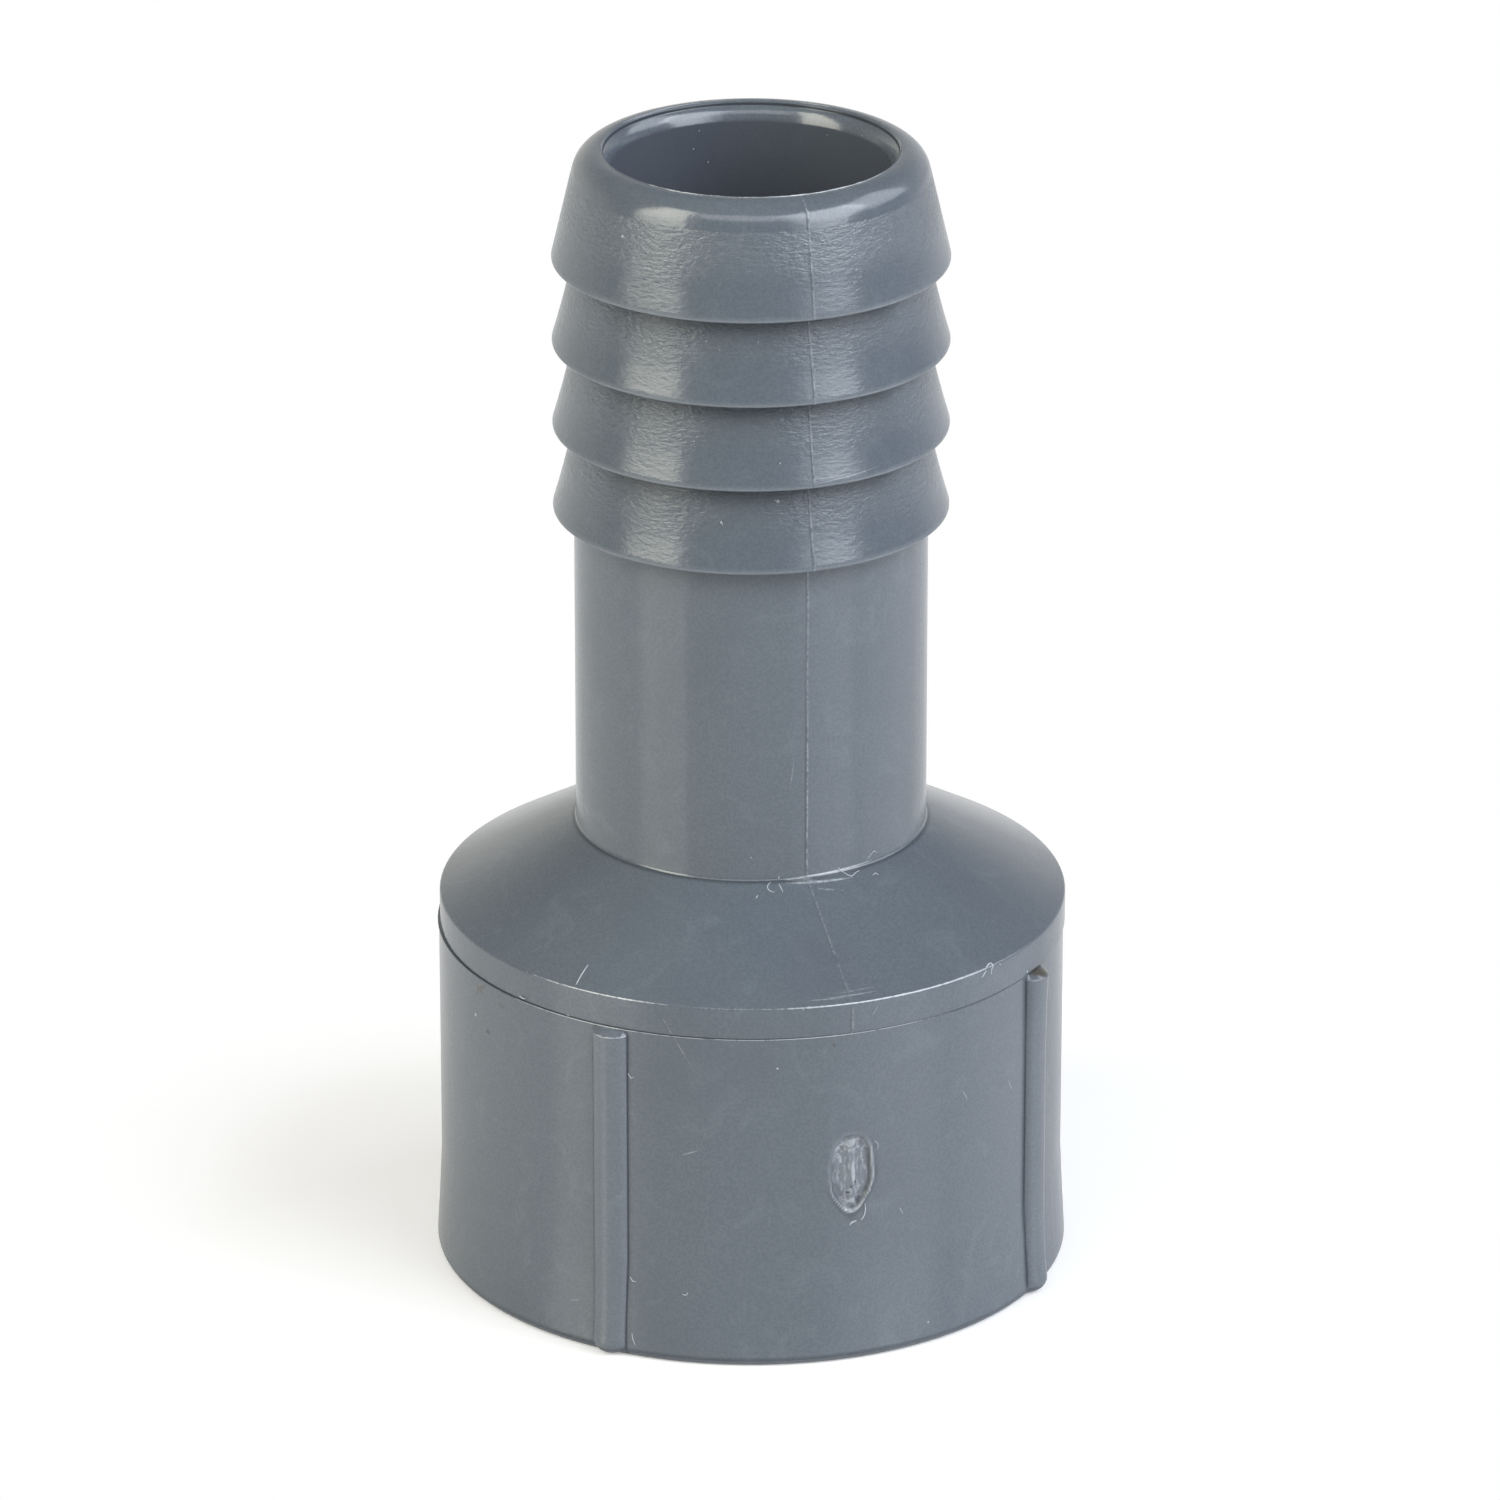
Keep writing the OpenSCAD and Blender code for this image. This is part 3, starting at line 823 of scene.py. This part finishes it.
space = paint.node("ShaderNodeTexCoord", out="Object")
space = paint.node("ShaderNodeVectorMath", feed={0: space, "Scale": 1 / MM}, operation="SCALE")
paper, radius_here = use(unroll, out=None, Place=space)
azimuth, height, _ = paint.axes(paper)
colour = use(tone, Place=space, Base=(0.11, 0.1325, 0.1585, 1), Pale=(0.152, 0.18, 0.21, 1),
             Deep=(0.095, 0.114, 0.14, 1), Amount=0.35, Grain=0.4)
torn_mask, lip_mask, ridge_mask, crease_mask, burr_mask, rib_mask, crest_highlight_mask = (
    paint.node("ShaderNodeAttribute", out="Fac", attribute_name=name)
    for name in ("torn", "lip", "ridge", "crease", "burr", "rib_face", "crest_highlight"))
dust = use(specks, Place=space, Scale=0.9, Share=0.05, Size=0.07)
dirt = use(specks, Place=paint.vector("ADD", space, (7.3, 1.9, 4.1)), Scale=0.45, Share=0.05, Size=0.09)
CRAZED, BROWN = (0.5, 0.54, 0.58, 1), (0.09, 0.075, 0.05, 1)
# the first colour is painted shade and the gate's pits, the second the painted shade inside the bore
SHADE_AND_PIT, BORE_SHADE = (0.03, 0.033, 0.038, 1), (0.088, 0.098, 0.118, 1)

# pale edge lines, partly crazed flash and partly a painted highlight, set by azimuth: strong on the front
# and none towards the back
MID_COLLAR, LIP_FOOT = 16.4, 51.0
cone_edge = strip(azimuth, (-50, 0), (-40, 0.5), (-19, 0.5), (-15, 0.25), (3, 0.3), (11, 0.62),
                  (44, 0.62), (56, 0))
wall_edge = strip(azimuth, (-50, 0), (-46, 0.52), (-24, 0.52), (-8, 0.48), (10, 0.6), (30, 0.52), (50, 0))
lip_edge = strip(azimuth, (-45, 0), (-22, 0.4), (10, 0.5), (50, 0.45), (80, 0.1))
on_cone = paint.step(height, MID_COLLAR, MID_COLLAR + 0.1)
edge = paint.add(paint.mul(cone_edge, on_cone), paint.mul(wall_edge, paint.sub(1.0, on_cone)))
edge = paint.most(edge, paint.mul(paint.step(height, LIP_FOOT, LIP_FOOT + 0.1), lip_edge))
chipped = paint.noise(space, 4.5, 3.0)
crumbs = paint.step(chipped, 0.62, 0.4)
edge_pattern = paint.add(edge, paint.sub(burr_mask, 1.0), paint.sub(chipped, 0.5))
edge = paint.mul(paint.step(edge_pattern, 0.22, 0.5), edge, 1.35)

# the gate: pulled apart in upright fibres, crazed white above and crumbled below
fibre = paint.noise(paint.vector("MULTIPLY", space, (1.0, 1.0, 0.24)), 6.5, 3.0)
crumble = paint.noise(space, 5.0, 3.0)
upper = paint.step(height, 9.7, 10.3)
lower = paint.step(height, 8.1, 7.6)
white_fibre = paint.mul(paint.step(fibre, 0.44, 0.66), torn_mask, 0.55)
white_crumb = paint.mul(paint.step(crumble, 0.46, 0.58), torn_mask, paint.add(upper, lower), 0.8)
pit = paint.mul(paint.step(crumble, 0.46, 0.38), torn_mask, paint.add(paint.mul(upper, 0.5), lower))

# from and to as (azimuth in degrees, height in millimetres), then width, strength and how broken
# along the neck's fillet these pale lines are partly scratches and partly a painted highlight
CORNER = (
    ((10.7, 20.62), (20, 20.58), 0.06, 0.75, 0.5), ((16, 20.68), (43, 20.72), 0.05, 0.95, 0.15),
    ((11, 20.52), (33, 20.4), 0.045, 0.8, 0.5), ((13, 20.55), (21, 20.5), 0.11, 0.4, 0.6),
    ((19, 20.6), (37, 20.6), 0.08, 0.28, 0.3),
    ((19.6, 20.3), (28.8, 20.1), 0.05, 0.25, 1), ((13.9, 26.25), (12.6, 24.85), 0.03, 0.3, 0.3),
    ((-72, 22.1), (-66, 21.7), 0.03, 0.4, 0.5))
SOCKET = (
    ((10.5, 17.34), (18.1, 17.32), 0.025, 0.35, 0.5), ((14, 17.36), (24, 17.375), 0.025, 0.4, 0.4),
    ((15.4, 17.45), (23.5, 17.5), 0.02, 0.35, 0.6), ((23.3, 16.87), (22.1, 16.4), 0.04, 0.35, 0.5),
    ((-12.5, 10.05), (-9.2, 10.36), 0.04, 0.4, 0.4),
    ((-16.4, 16.65), (-10.3, 14.15), 0.04, 0.3, 0.8), ((41.6, 11.75), (43.1, 11.15), 0.03, 0.5, 0.2),
    ((54.4, 11.2), (55.7, 10.6), 0.03, 0.45, 0.2), ((-34.6, 2.07), (-32.5, 2.21), 0.03, 0.4, 0))
BARBS_LINES = (
    ((17.5, 39.38), (39.9, 39.62), 0.03, 0.4, 0.2), ((17.6, 39.6), (29.4, 39.6), 0.03, 0.35, 0.3),
    ((-37.4, 42.62), (-26.7, 43.0), 0.05, 0.4, 0.6), ((-26.7, 43.05), (-18.8, 42.65), 0.07, 0.5, 0.4),
    ((-28, 38.75), (-18.8, 38.76), 0.05, 0.55, 0.4))
GATE = (
    ((16.2, 10.38), (19.9, 10.5), 0.3, 0.95, 0.35), ((15.3, 10.1), (16.6, 9.5), 0.2, 0.85, 0.8),
    ((18.6, 9.6), (18.9, 8.4), 0.17, 0.95, 0.3), ((19.0, 8.3), (17.5, 8.15), 0.05, 0.7, 0),
    ((19.0, 8.3), (20.4, 8.3), 0.05, 0.7, 0), ((19.0, 8.4), (19.4, 7.85), 0.06, 0.7, 0))
STAINS = (
    ((14.78, 15.36), (15.15, 15.15), 0.06, 0.9, 0), ((-60.4, 15.27), (-57.5, 14.96), 0.12, 0.85, 0.4),
    ((-60.5, 14.74), (-59.3, 15.2), 0.11, 0.85, 0.3), ((-59.3, 15.15), (-56.8, 15.5), 0.11, 0.7, 0.5),
    ((-52.9, 15.03), (-51.1, 14.94), 0.16, 0.7, 0.6), ((61.4, 15.66), (66.2, 15.55), 0.27, 0.85, 0.3),
    ((9.9, 20.72), (10.3, 20.7), 0.08, 0.8, 0), ((-56.3, 51.87), (-55.5, 51.87), 0.09, 0.6, 0.4),
    ((-48.0, 50.36), (-46.8, 50.34), 0.12, 0.45, 0.6))
PITS = (
    ((-56.35, 13.42), (-56.15, 13.26), 0.17, 0.95, 0), ((18.2, 8.42), (18.6, 8.2), 0.05, 0.9, 0),
    ((-80.9, 11.35), (-80.4, 11.1), 0.2, 0.95, 0), ((16.8, 10.8), (19.4, 10.84), 0.06, 0.55, 0.4),
    ((19.2, 8.6), (19.1, 8.45), 0.08, 0.9, 0), ((17.2, 8.1), (18.2, 8.05), 0.07, 0.9, 0))
# each table is unrolled at the radius where its marks lie
wear_and_highlight = paint.most(*(scratches(radius, *lines) for radius, lines in (
    (7.98, CORNER), (13.8, SOCKET), (8.6, BARBS_LINES), (WALL_R, GATE))))
soiled = scratches(WALL_R, *STAINS)
thin_flash = paint.mul(ridge_mask, paint.step(chipped, 0.32, 0.6), 0.5)
pale = paint.add(paint.mul(torn_mask, 0.16), thin_flash, paint.mul(rib_mask, 0.06),
                 paint.mul(crest_highlight_mask, 0.14))
pale = paint.most(pale, paint.mul(lip_mask, 0.9), paint.mul(dust, 0.8), edge, wear_and_highlight, white_fibre,
                  white_crumb)
colour = paint.blend(paint.math("MINIMUM", pale, 1.0), colour, CRAZED)
colour = paint.blend(paint.most(paint.mul(dirt, 0.7), soiled), colour, BROWN)
# painted shade in grooves, corners and under the barbs, together with the real pits of the gate
shade_and_pits = paint.most(paint.mul(crease_mask, 0.7), paint.mul(pit, 0.6), scratches(WALL_R, *PITS))
colour = paint.blend(shade_and_pits, colour, SHADE_AND_PIT)
# the barbs are a little rougher than the rest, up to where the nose begins
TAIL_FROM, TAIL_TO, SMOOTH, SHEEN = 35.0, 48.6, 0.17, 0.66
barb_rough = paint.mul(paint.step(height, TAIL_FROM, TAIL_FROM + 0.4),
                       paint.step(height, TAIL_TO, TAIL_TO - 1.2), 0.02)
# painted shade: the bore is darker inside, where little light reaches
bore_shade = paint.mul(paint.sub(1.0, paint.step(radius_here, BORE_R, BORE_R + 0.06)), 0.7)
colour = paint.blend(bore_shade, colour, BORE_SHADE)
ripple = use(flow, Place=space, From_height=FIRST_BARB, To_height=TIP_Z - 0.4, Pitch=BARB_PITCH,
             Radius=radius_here, Bore_radius=BORE_R)
bump = paint.node("ShaderNodeBump", feed={"Height": ripple, "Distance": 0.00007, "Strength": 1.0})
rough = paint.add(SMOOTH, paint.mul(torn_mask, 0.2), barb_rough)
# the painted shade also dims the sheen
sheen = paint.mul(paint.sub(1.0, paint.mul(crease_mask, 0.8)), SHEEN)
surface = paint.node("ShaderNodeBsdfPrincipled", feed={
    "Base Color": colour, "Roughness": rough, "Normal": bump, "IOR": 1.6, "Specular IOR Level": sheen})
paint.show(surface, "Material")
print("vinyl:", len(paint.nodes), "nodes")

# %% [markdown]
# ## Wisps and crumbs
# A blunt mould edge shaves hair-thin curls off the part, and they cling to it by static charge. They
# stand off the surface and catch the light, so they are modelled and not painted. Each one is a few
# points on the surface. A node tree draws a smooth curve through them and gives it a thickness.

# %% Points of the wisps
def skin_radius(z):
    """Radius of the outside at a height, between the two rows that hold it."""
    for low_row, high_row in zip(rows, rows[1:]):
        if low_row["z"] <= z <= high_row["z"] and low_row["z"] < high_row["z"]:
            share = (z - low_row["z"]) / (high_row["z"] - low_row["z"])
            return low_row["r"] + (high_row["r"] - low_row["r"]) * share
    return BORE_R


# thickness, then the places as (azimuth in degrees, height in millimetres)
WISPS = (
    (0.055, (8.75, 20.76), (9.05, 20.74)), (0.03, (29.4, 20.82), (29.8, 20.69)),
    (0.02, (29.8, 20.69), (30.9, 20.59), (32.6, 20.44), (34.7, 20.5), (36.4, 20.53)),
    (0.018, (40.9, 20.86), (42.6, 21.02), (43.9, 21.11), (45.2, 20.97)),
    (0.022, (39.6, 20.31), (40.9, 20.34), (41.5, 20.28)),
    (0.02, (6.2, 20.58), (5.1, 20.48), (5.4, 20.36), (6.9, 20.3)),
    (0.022, (8.7, 20.52), (9.2, 20.4), (9.55, 20.29)), (0.022, (1.4, 20.15), (2.0, 20.23)),
    (0.04, (46.2, 16.82), (46.9, 16.96), (47.4, 17.06)),
    (0.04, (47.2, 17.08), (47.7, 17.18), (49.1, 17.23), (49.3, 17.13), (48.7, 16.96), (48.8, 16.74)),
    (0.035, (51.0, 17.09), (51.4, 17.0)), (0.05, (60.0, 15.95), (60.4, 15.86)),
    (0.032, (-33.6, 17.26), (-33.8, 17.54), (-33.8, 17.83)),
    (0.03, (-46.5, 15.89), (-45.4, 15.85), (-44.9, 15.92)), (0.02, (-35.0, 15.8), (-34.7, 15.76)),
    (0.03, (20.9, 7.47), (21.0, 7.13), (20.7, 6.85), (20.2, 6.7)),
    (0.035, (18.0, 6.52), (18.5, 6.64), (19.3, 6.69)),
    (0.02, (22.7, 10.39), (23.3, 10.26), (23.4, 10.06), (23.2, 9.98)),
    (0.02, (27.8, 6.93), (28.5, 6.6)), (0.035, (20.3, 9.6), (20.5, 9.55)),
    (0.025, (-22.3, 3.84), (-21.8, 3.67), (-21.2, 3.67)),
    (0.02, (-12.5, 3.36), (-11.8, 3.33), (-11.4, 3.48)),
    (0.022, (-21.8, 1.19), (-21.6, 0.92), (-21.1, 0.65)),
    (0.022, (-22.6, 13.65), (-22.1, 13.45), (-21.6, 13.5)),
    (0.03, (-13.9, 45.8), (-13.7, 45.8)), (0.022, (-9.7, 45.47), (-9.5, 45.47)),
    (0.02, (2.1, 45.8), (2.3, 45.8)), (0.022, (19.0, 44.5), (19.2, 44.5)),
    (0.02, (8.4, 40.4), (8.7, 40.35)), (0.025, (7.4, 38.5), (7.6, 38.5)),
    (0.025, (32.8, 37.8), (33.0, 37.85)), (0.022, (14.2, 38.13), (14.5, 38.1)),
    (0.02, (-9.3, 37.5), (-9.1, 37.6), (-8.7, 37.45)), (0.05, (-161.7, 49.26), (-162.0, 49.26)),
    (0.035, (-155.1, 49.95), (-155.5, 49.93)), (0.025, (146.7, 50.75), (146.5, 50.75)),
    (0.03, (127.0, 51.2), (126.8, 51.2)), (0.03, (-157.8, 50.75), (-158.1, 50.75)))
spots, links_between, sizes = [], [], []
for thickness, *places in WISPS:
    for number, (turn, z) in enumerate(places):
        # what lies beyond 100 degrees is seen inside the mouth
        within = abs(turn) > 100
        r = BORE_R - thickness * 0.5 if within else skin_radius(z) + thickness * 0.6
        across_x, across_y = math.sin(math.radians(turn)), -math.cos(math.radians(turn))
        if number:
            links_between.append((len(spots) - 1, len(spots)))
        spots.append((r * across_x * MM, r * across_y * MM, z * MM))
        sizes.append(thickness * MM)
threads = bpy.data.meshes.new("wisp_plan")
threads.from_pydata(spots, links_between, [])
threads.attributes.new("thickness", "FLOAT", "POINT").data.foreach_set("value", sizes)
wisp_plan = put("wisp_plan", threads)
print("wisps:", len(WISPS), "points:", len(spots))

# %% [markdown]
# The tree turns the edges into curves, rounds them, and sweeps a small circle along each. Crazed
# vinyl has lost its depth of colour, so the wisps get a pale, dull material of their own.

# %% The wisps' tree and material
crazed = bpy.data.materials.new("crazed_vinyl")
crazed.use_nodes = True
crazed_surface = crazed.node_tree.nodes["Principled BSDF"]
crazed_surface.inputs["Base Color"].default_value = CRAZED
crazed_surface.inputs["Roughness"].default_value = 0.4
wisp = Tree("wisps")
wisp.sockets("Geometry", "Geometry")
wisp.sockets("Int", Sides=6, Steps=9)
wisp.sockets("Material", "Material")
wisp.sockets("Geometry", "Geometry", way="OUTPUT")
source = wisp.given()
curve = wisp.node("GeometryNodeMeshToCurve", feed={"Mesh": source["Geometry"]})
curve = wisp.node("GeometryNodeCurveSplineType", feed={"Curve": curve}, spline_type="CATMULL_ROM")
curve = wisp.node("GeometryNodeResampleCurve", feed={"Curve": curve, "Count": source["Steps"]})
thick = wisp.node("GeometryNodeInputNamedAttribute", feed={"Name": "thickness"}, data_type="FLOAT")
along = wisp.node("GeometryNodeSplineParameter", out="Factor")
slim = wisp.add(0.55, wisp.mul(along, wisp.sub(1.0, along), 1.8))
circle = wisp.node("GeometryNodeCurvePrimitiveCircle", feed={"Resolution": source["Sides"],
                                                             "Radius": 1.0})
tube = wisp.node("GeometryNodeCurveToMesh", feed={"Curve": curve, "Profile Curve": circle,
                                                  "Scale": wisp.mul(thick, slim), "Fill Caps": True})
tube = wisp.node("GeometryNodeRealizeInstances", feed={0: tube})
tube = wisp.node("GeometryNodeSetMaterial", feed={"Geometry": tube, "Material": source["Material"]})
wisp.hand_out(Geometry=tube)
run_tree(wisp_plan, "draw", wisp, {"Sides": 6, "Steps": 9, "Material": crazed})
wisp_piece = settle(wisp_plan, "wisps")
print("faces", len(wisp_piece.data.polygons), "thickest", max(sizes) / MM, "mm")
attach(wisp_piece, "root")

# %% [markdown]
# ## The studio
# The photo was taken in a white tent. Four soft boxes light it: two tall ones to the left and the
# right, well apart, so the front of the part reflects the darker gap between them, a smaller one at
# the right side, and a weak one above the camera. The table is a pale disc that looks pure white to
# the camera and still takes a soft shadow close to the part.

# %% Floor and surroundings
FLOOR_R, FLOOR_SIDES = 0.6, 96
SHADOW_R, BARE_R = 0.024, 0.034
steps = [2 * math.pi * k / FLOOR_SIDES for k in range(FLOOR_SIDES)]
floor_mesh = bpy.data.meshes.new("floor")
floor_mesh.from_pydata([(FLOOR_R * math.cos(a), FLOOR_R * math.sin(a), 0) for a in steps], [],
                       [list(range(FLOOR_SIDES))])
floor = put("floor", floor_mesh)
floor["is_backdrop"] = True


def by_ray(tree, other, camera):
    """Gives the camera one shader, and the light that falls on the part another."""
    seen = tree.node("ShaderNodeLightPath", out="Is Camera Ray")
    return tree.node("ShaderNodeMixShader", feed={0: seen, 1: other, 2: camera})


table_top = bpy.data.materials.new("table_top")
top = emptied(table_top)
# the part mirrors a table that glows towards the back and the sides, where the tent lights it
on_top = top.node("ShaderNodeTexCoord", out="Object")
top_x, top_y, _ = top.axes(on_top)
depth = top.math("MULTIPLY_ADD", top.math("ABSOLUTE", top_x), 0.6, top_y)
acrylic = top.node("ShaderNodeBsdfPrincipled", feed={
    "Base Color": (0.72, 0.72, 0.72, 1), "Roughness": 0.16, "Specular IOR Level": 0.3,
    "Emission Color": (1, 1, 1, 1), "Emission Strength": top.ramp(depth, -0.02, 0.02, 0.0, 0.2)})
lit = top.node("ShaderNodeAddShader", feed={
    0: top.node("ShaderNodeBsdfDiffuse", feed={"Color": (0.9, 0.9, 0.9, 1)}),
    1: top.node("ShaderNodeEmission", feed={"Strength": 0.3})})
# the shadow stays near the part, and beyond it the table is one flat white
away = top.ramp(top.vector("LENGTH", on_top, out="Value"), SHADOW_R, BARE_R)
near = top.node("ShaderNodeMixShader", feed={0: away, 1: lit, 2: top.node("ShaderNodeEmission")})
top.show(by_ray(top, acrylic, near), "Material")
floor_mesh.materials.append(table_top)

world = bpy.data.worlds.new("tent")
bpy.context.scene.world = world
sky = emptied(world)
# warm on the left, brightest behind the part near the horizon, and faint from above
to_x, to_y, to_z = sky.axes(sky.node("ShaderNodeTexCoord", out="Generated"))
tint = sky.blend(sky.ramp(to_x, -0.8, 0.3), (1.0, 0.975, 0.91, 1), (1.0, 0.985, 0.965, 1))
behind = sky.ramp(sky.add(to_y, sky.ramp(to_x, -1.0, 0.0, 0.4, 0.0)), 0.35, 1.0, 0.0, 0.68)
near_horizon = sky.ramp(to_z, 0.15, 0.6, 1.0, 0.0)
overhead = sky.math("MULTIPLY_ADD", sky.ramp(to_z, 0.5, 0.95), sky.ramp(to_x, -0.5, 0.5, 0.22, 0.0),
                    0.135)
glow = sky.math("MULTIPLY_ADD", behind, near_horizon, overhead)
tent = sky.node("ShaderNodeBackground", feed={"Color": tint, "Strength": glow})
white = sky.node("ShaderNodeBackground", feed={"Color": (1, 1, 1, 1), "Strength": 1.0})
sky.show(by_ray(sky, tent, white), "World")
print("floor:", len(top.nodes), "nodes, tent:", len(sky.nodes), "nodes")

# %% [markdown]
# ## The soft boxes
# A smooth part mirrors its lamps, so their outlines matter more than their power. The highlights on
# the neck and the wall have slanted sides, and the right one is soft on one side and sharp on the
# other. So each box glows between two slanted lines, and its light fades in from the first of them.

# %% Soft boxes
def soft_box(name, azimuth, width, foot, head, radiance, colour, start=(0, 0), fade=(0, 0), stop=(1, 0)):
    """A soft box. Foot and head are (distance, height) in metres. Its left side starts, fades in, and
    its right side stops at shares of its width, each given at the foot and per height above it."""
    light = bpy.data.lights.new(name, "AREA")
    light.shape = "RECTANGLE"
    light.size = width
    light.size_y = math.hypot(foot[0] - head[0], foot[1] - head[1])
    light.energy = radiance * math.pi * light.size * light.size_y
    light.color = colour
    light.use_nodes = True
    box = Tree(name, tree=light.node_tree)
    across, up, _ = box.axes(box.node("ShaderNodeNewGeometry", out="Parametric"))
    full = (start[0] + fade[0] + 0.001, start[1] + fade[1])
    begins_at, full_at, stops_at = (box.math("MULTIPLY_ADD", up, per_height, at_foot)
                                    for at_foot, per_height in (start, full, stop))
    rise = box.ramp(up, 0.0, 0.3, 0.64, 1.0)
    shape = box.mul(box.ramp(across, begins_at, full_at), rise, box.math("LESS_THAN", across, stops_at))
    box.join(shape, box.nodes["Emission"].inputs["Strength"])
    lamp = put(name, light)
    turn, tilt = math.radians(azimuth), math.atan2(foot[0] - head[0], head[1] - foot[1])
    middle = ((foot[0] + head[0]) / 2, (foot[1] + head[1]) / 2)
    lamp.location = (middle[0] * math.sin(turn), -middle[0] * math.cos(turn), middle[1])
    lamp.rotation_euler = (math.radians(90) - tilt, 0, turn)


FOOT, HEAD, COOL = (0.6, 0.072), (0.55, 0.78), (0.89, 0.93, 1.0)
soft_box("soft_left", -59.5, 0.413, FOOT, HEAD, 4.8, (1.0, 0.978, 0.85),
         start=(0, 0.14), fade=(0.12, 0), stop=(1, -0.2))
soft_box("soft_right", 50.4, 0.74, FOOT, HEAD, 4.5, COOL,
         start=(0.13, -0.19), fade=(0.39, -0.17), stop=(0.61, 0.8))
soft_box("soft_side", 99, 0.42, (0.6, 0.2), (0.45, 0.6), 2.5, COOL)
soft_box("soft_front", -9, 0.5, (0.55, 0.4), (0.4, 0.62), 1.65, (1.0, 0.95, 1.01))

# %% [markdown]
# ## The camera
# The part was taken from above with a long lens: its upright edges hardly lean together, and the
# mouth shows as an ellipse about a third as high as it is wide. The numbers come from matching the
# part's outline in the photo.

# %% Camera, colours and the last checks
lens = bpy.data.cameras.new("camera")
lens.sensor_width, lens.lens = 36.0, 239.98
camera = put("camera", lens)
camera.location = (-0.00005, -0.412, 0.192)
camera.rotation_euler = (math.radians(67.771), 0, 0)
scene = bpy.context.scene
scene.camera = camera
scene.view_settings.view_transform = "Standard"
low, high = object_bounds()
print("scene box:", [round(v / MM, 2) for v in low], [round(v / MM, 2) for v in high])
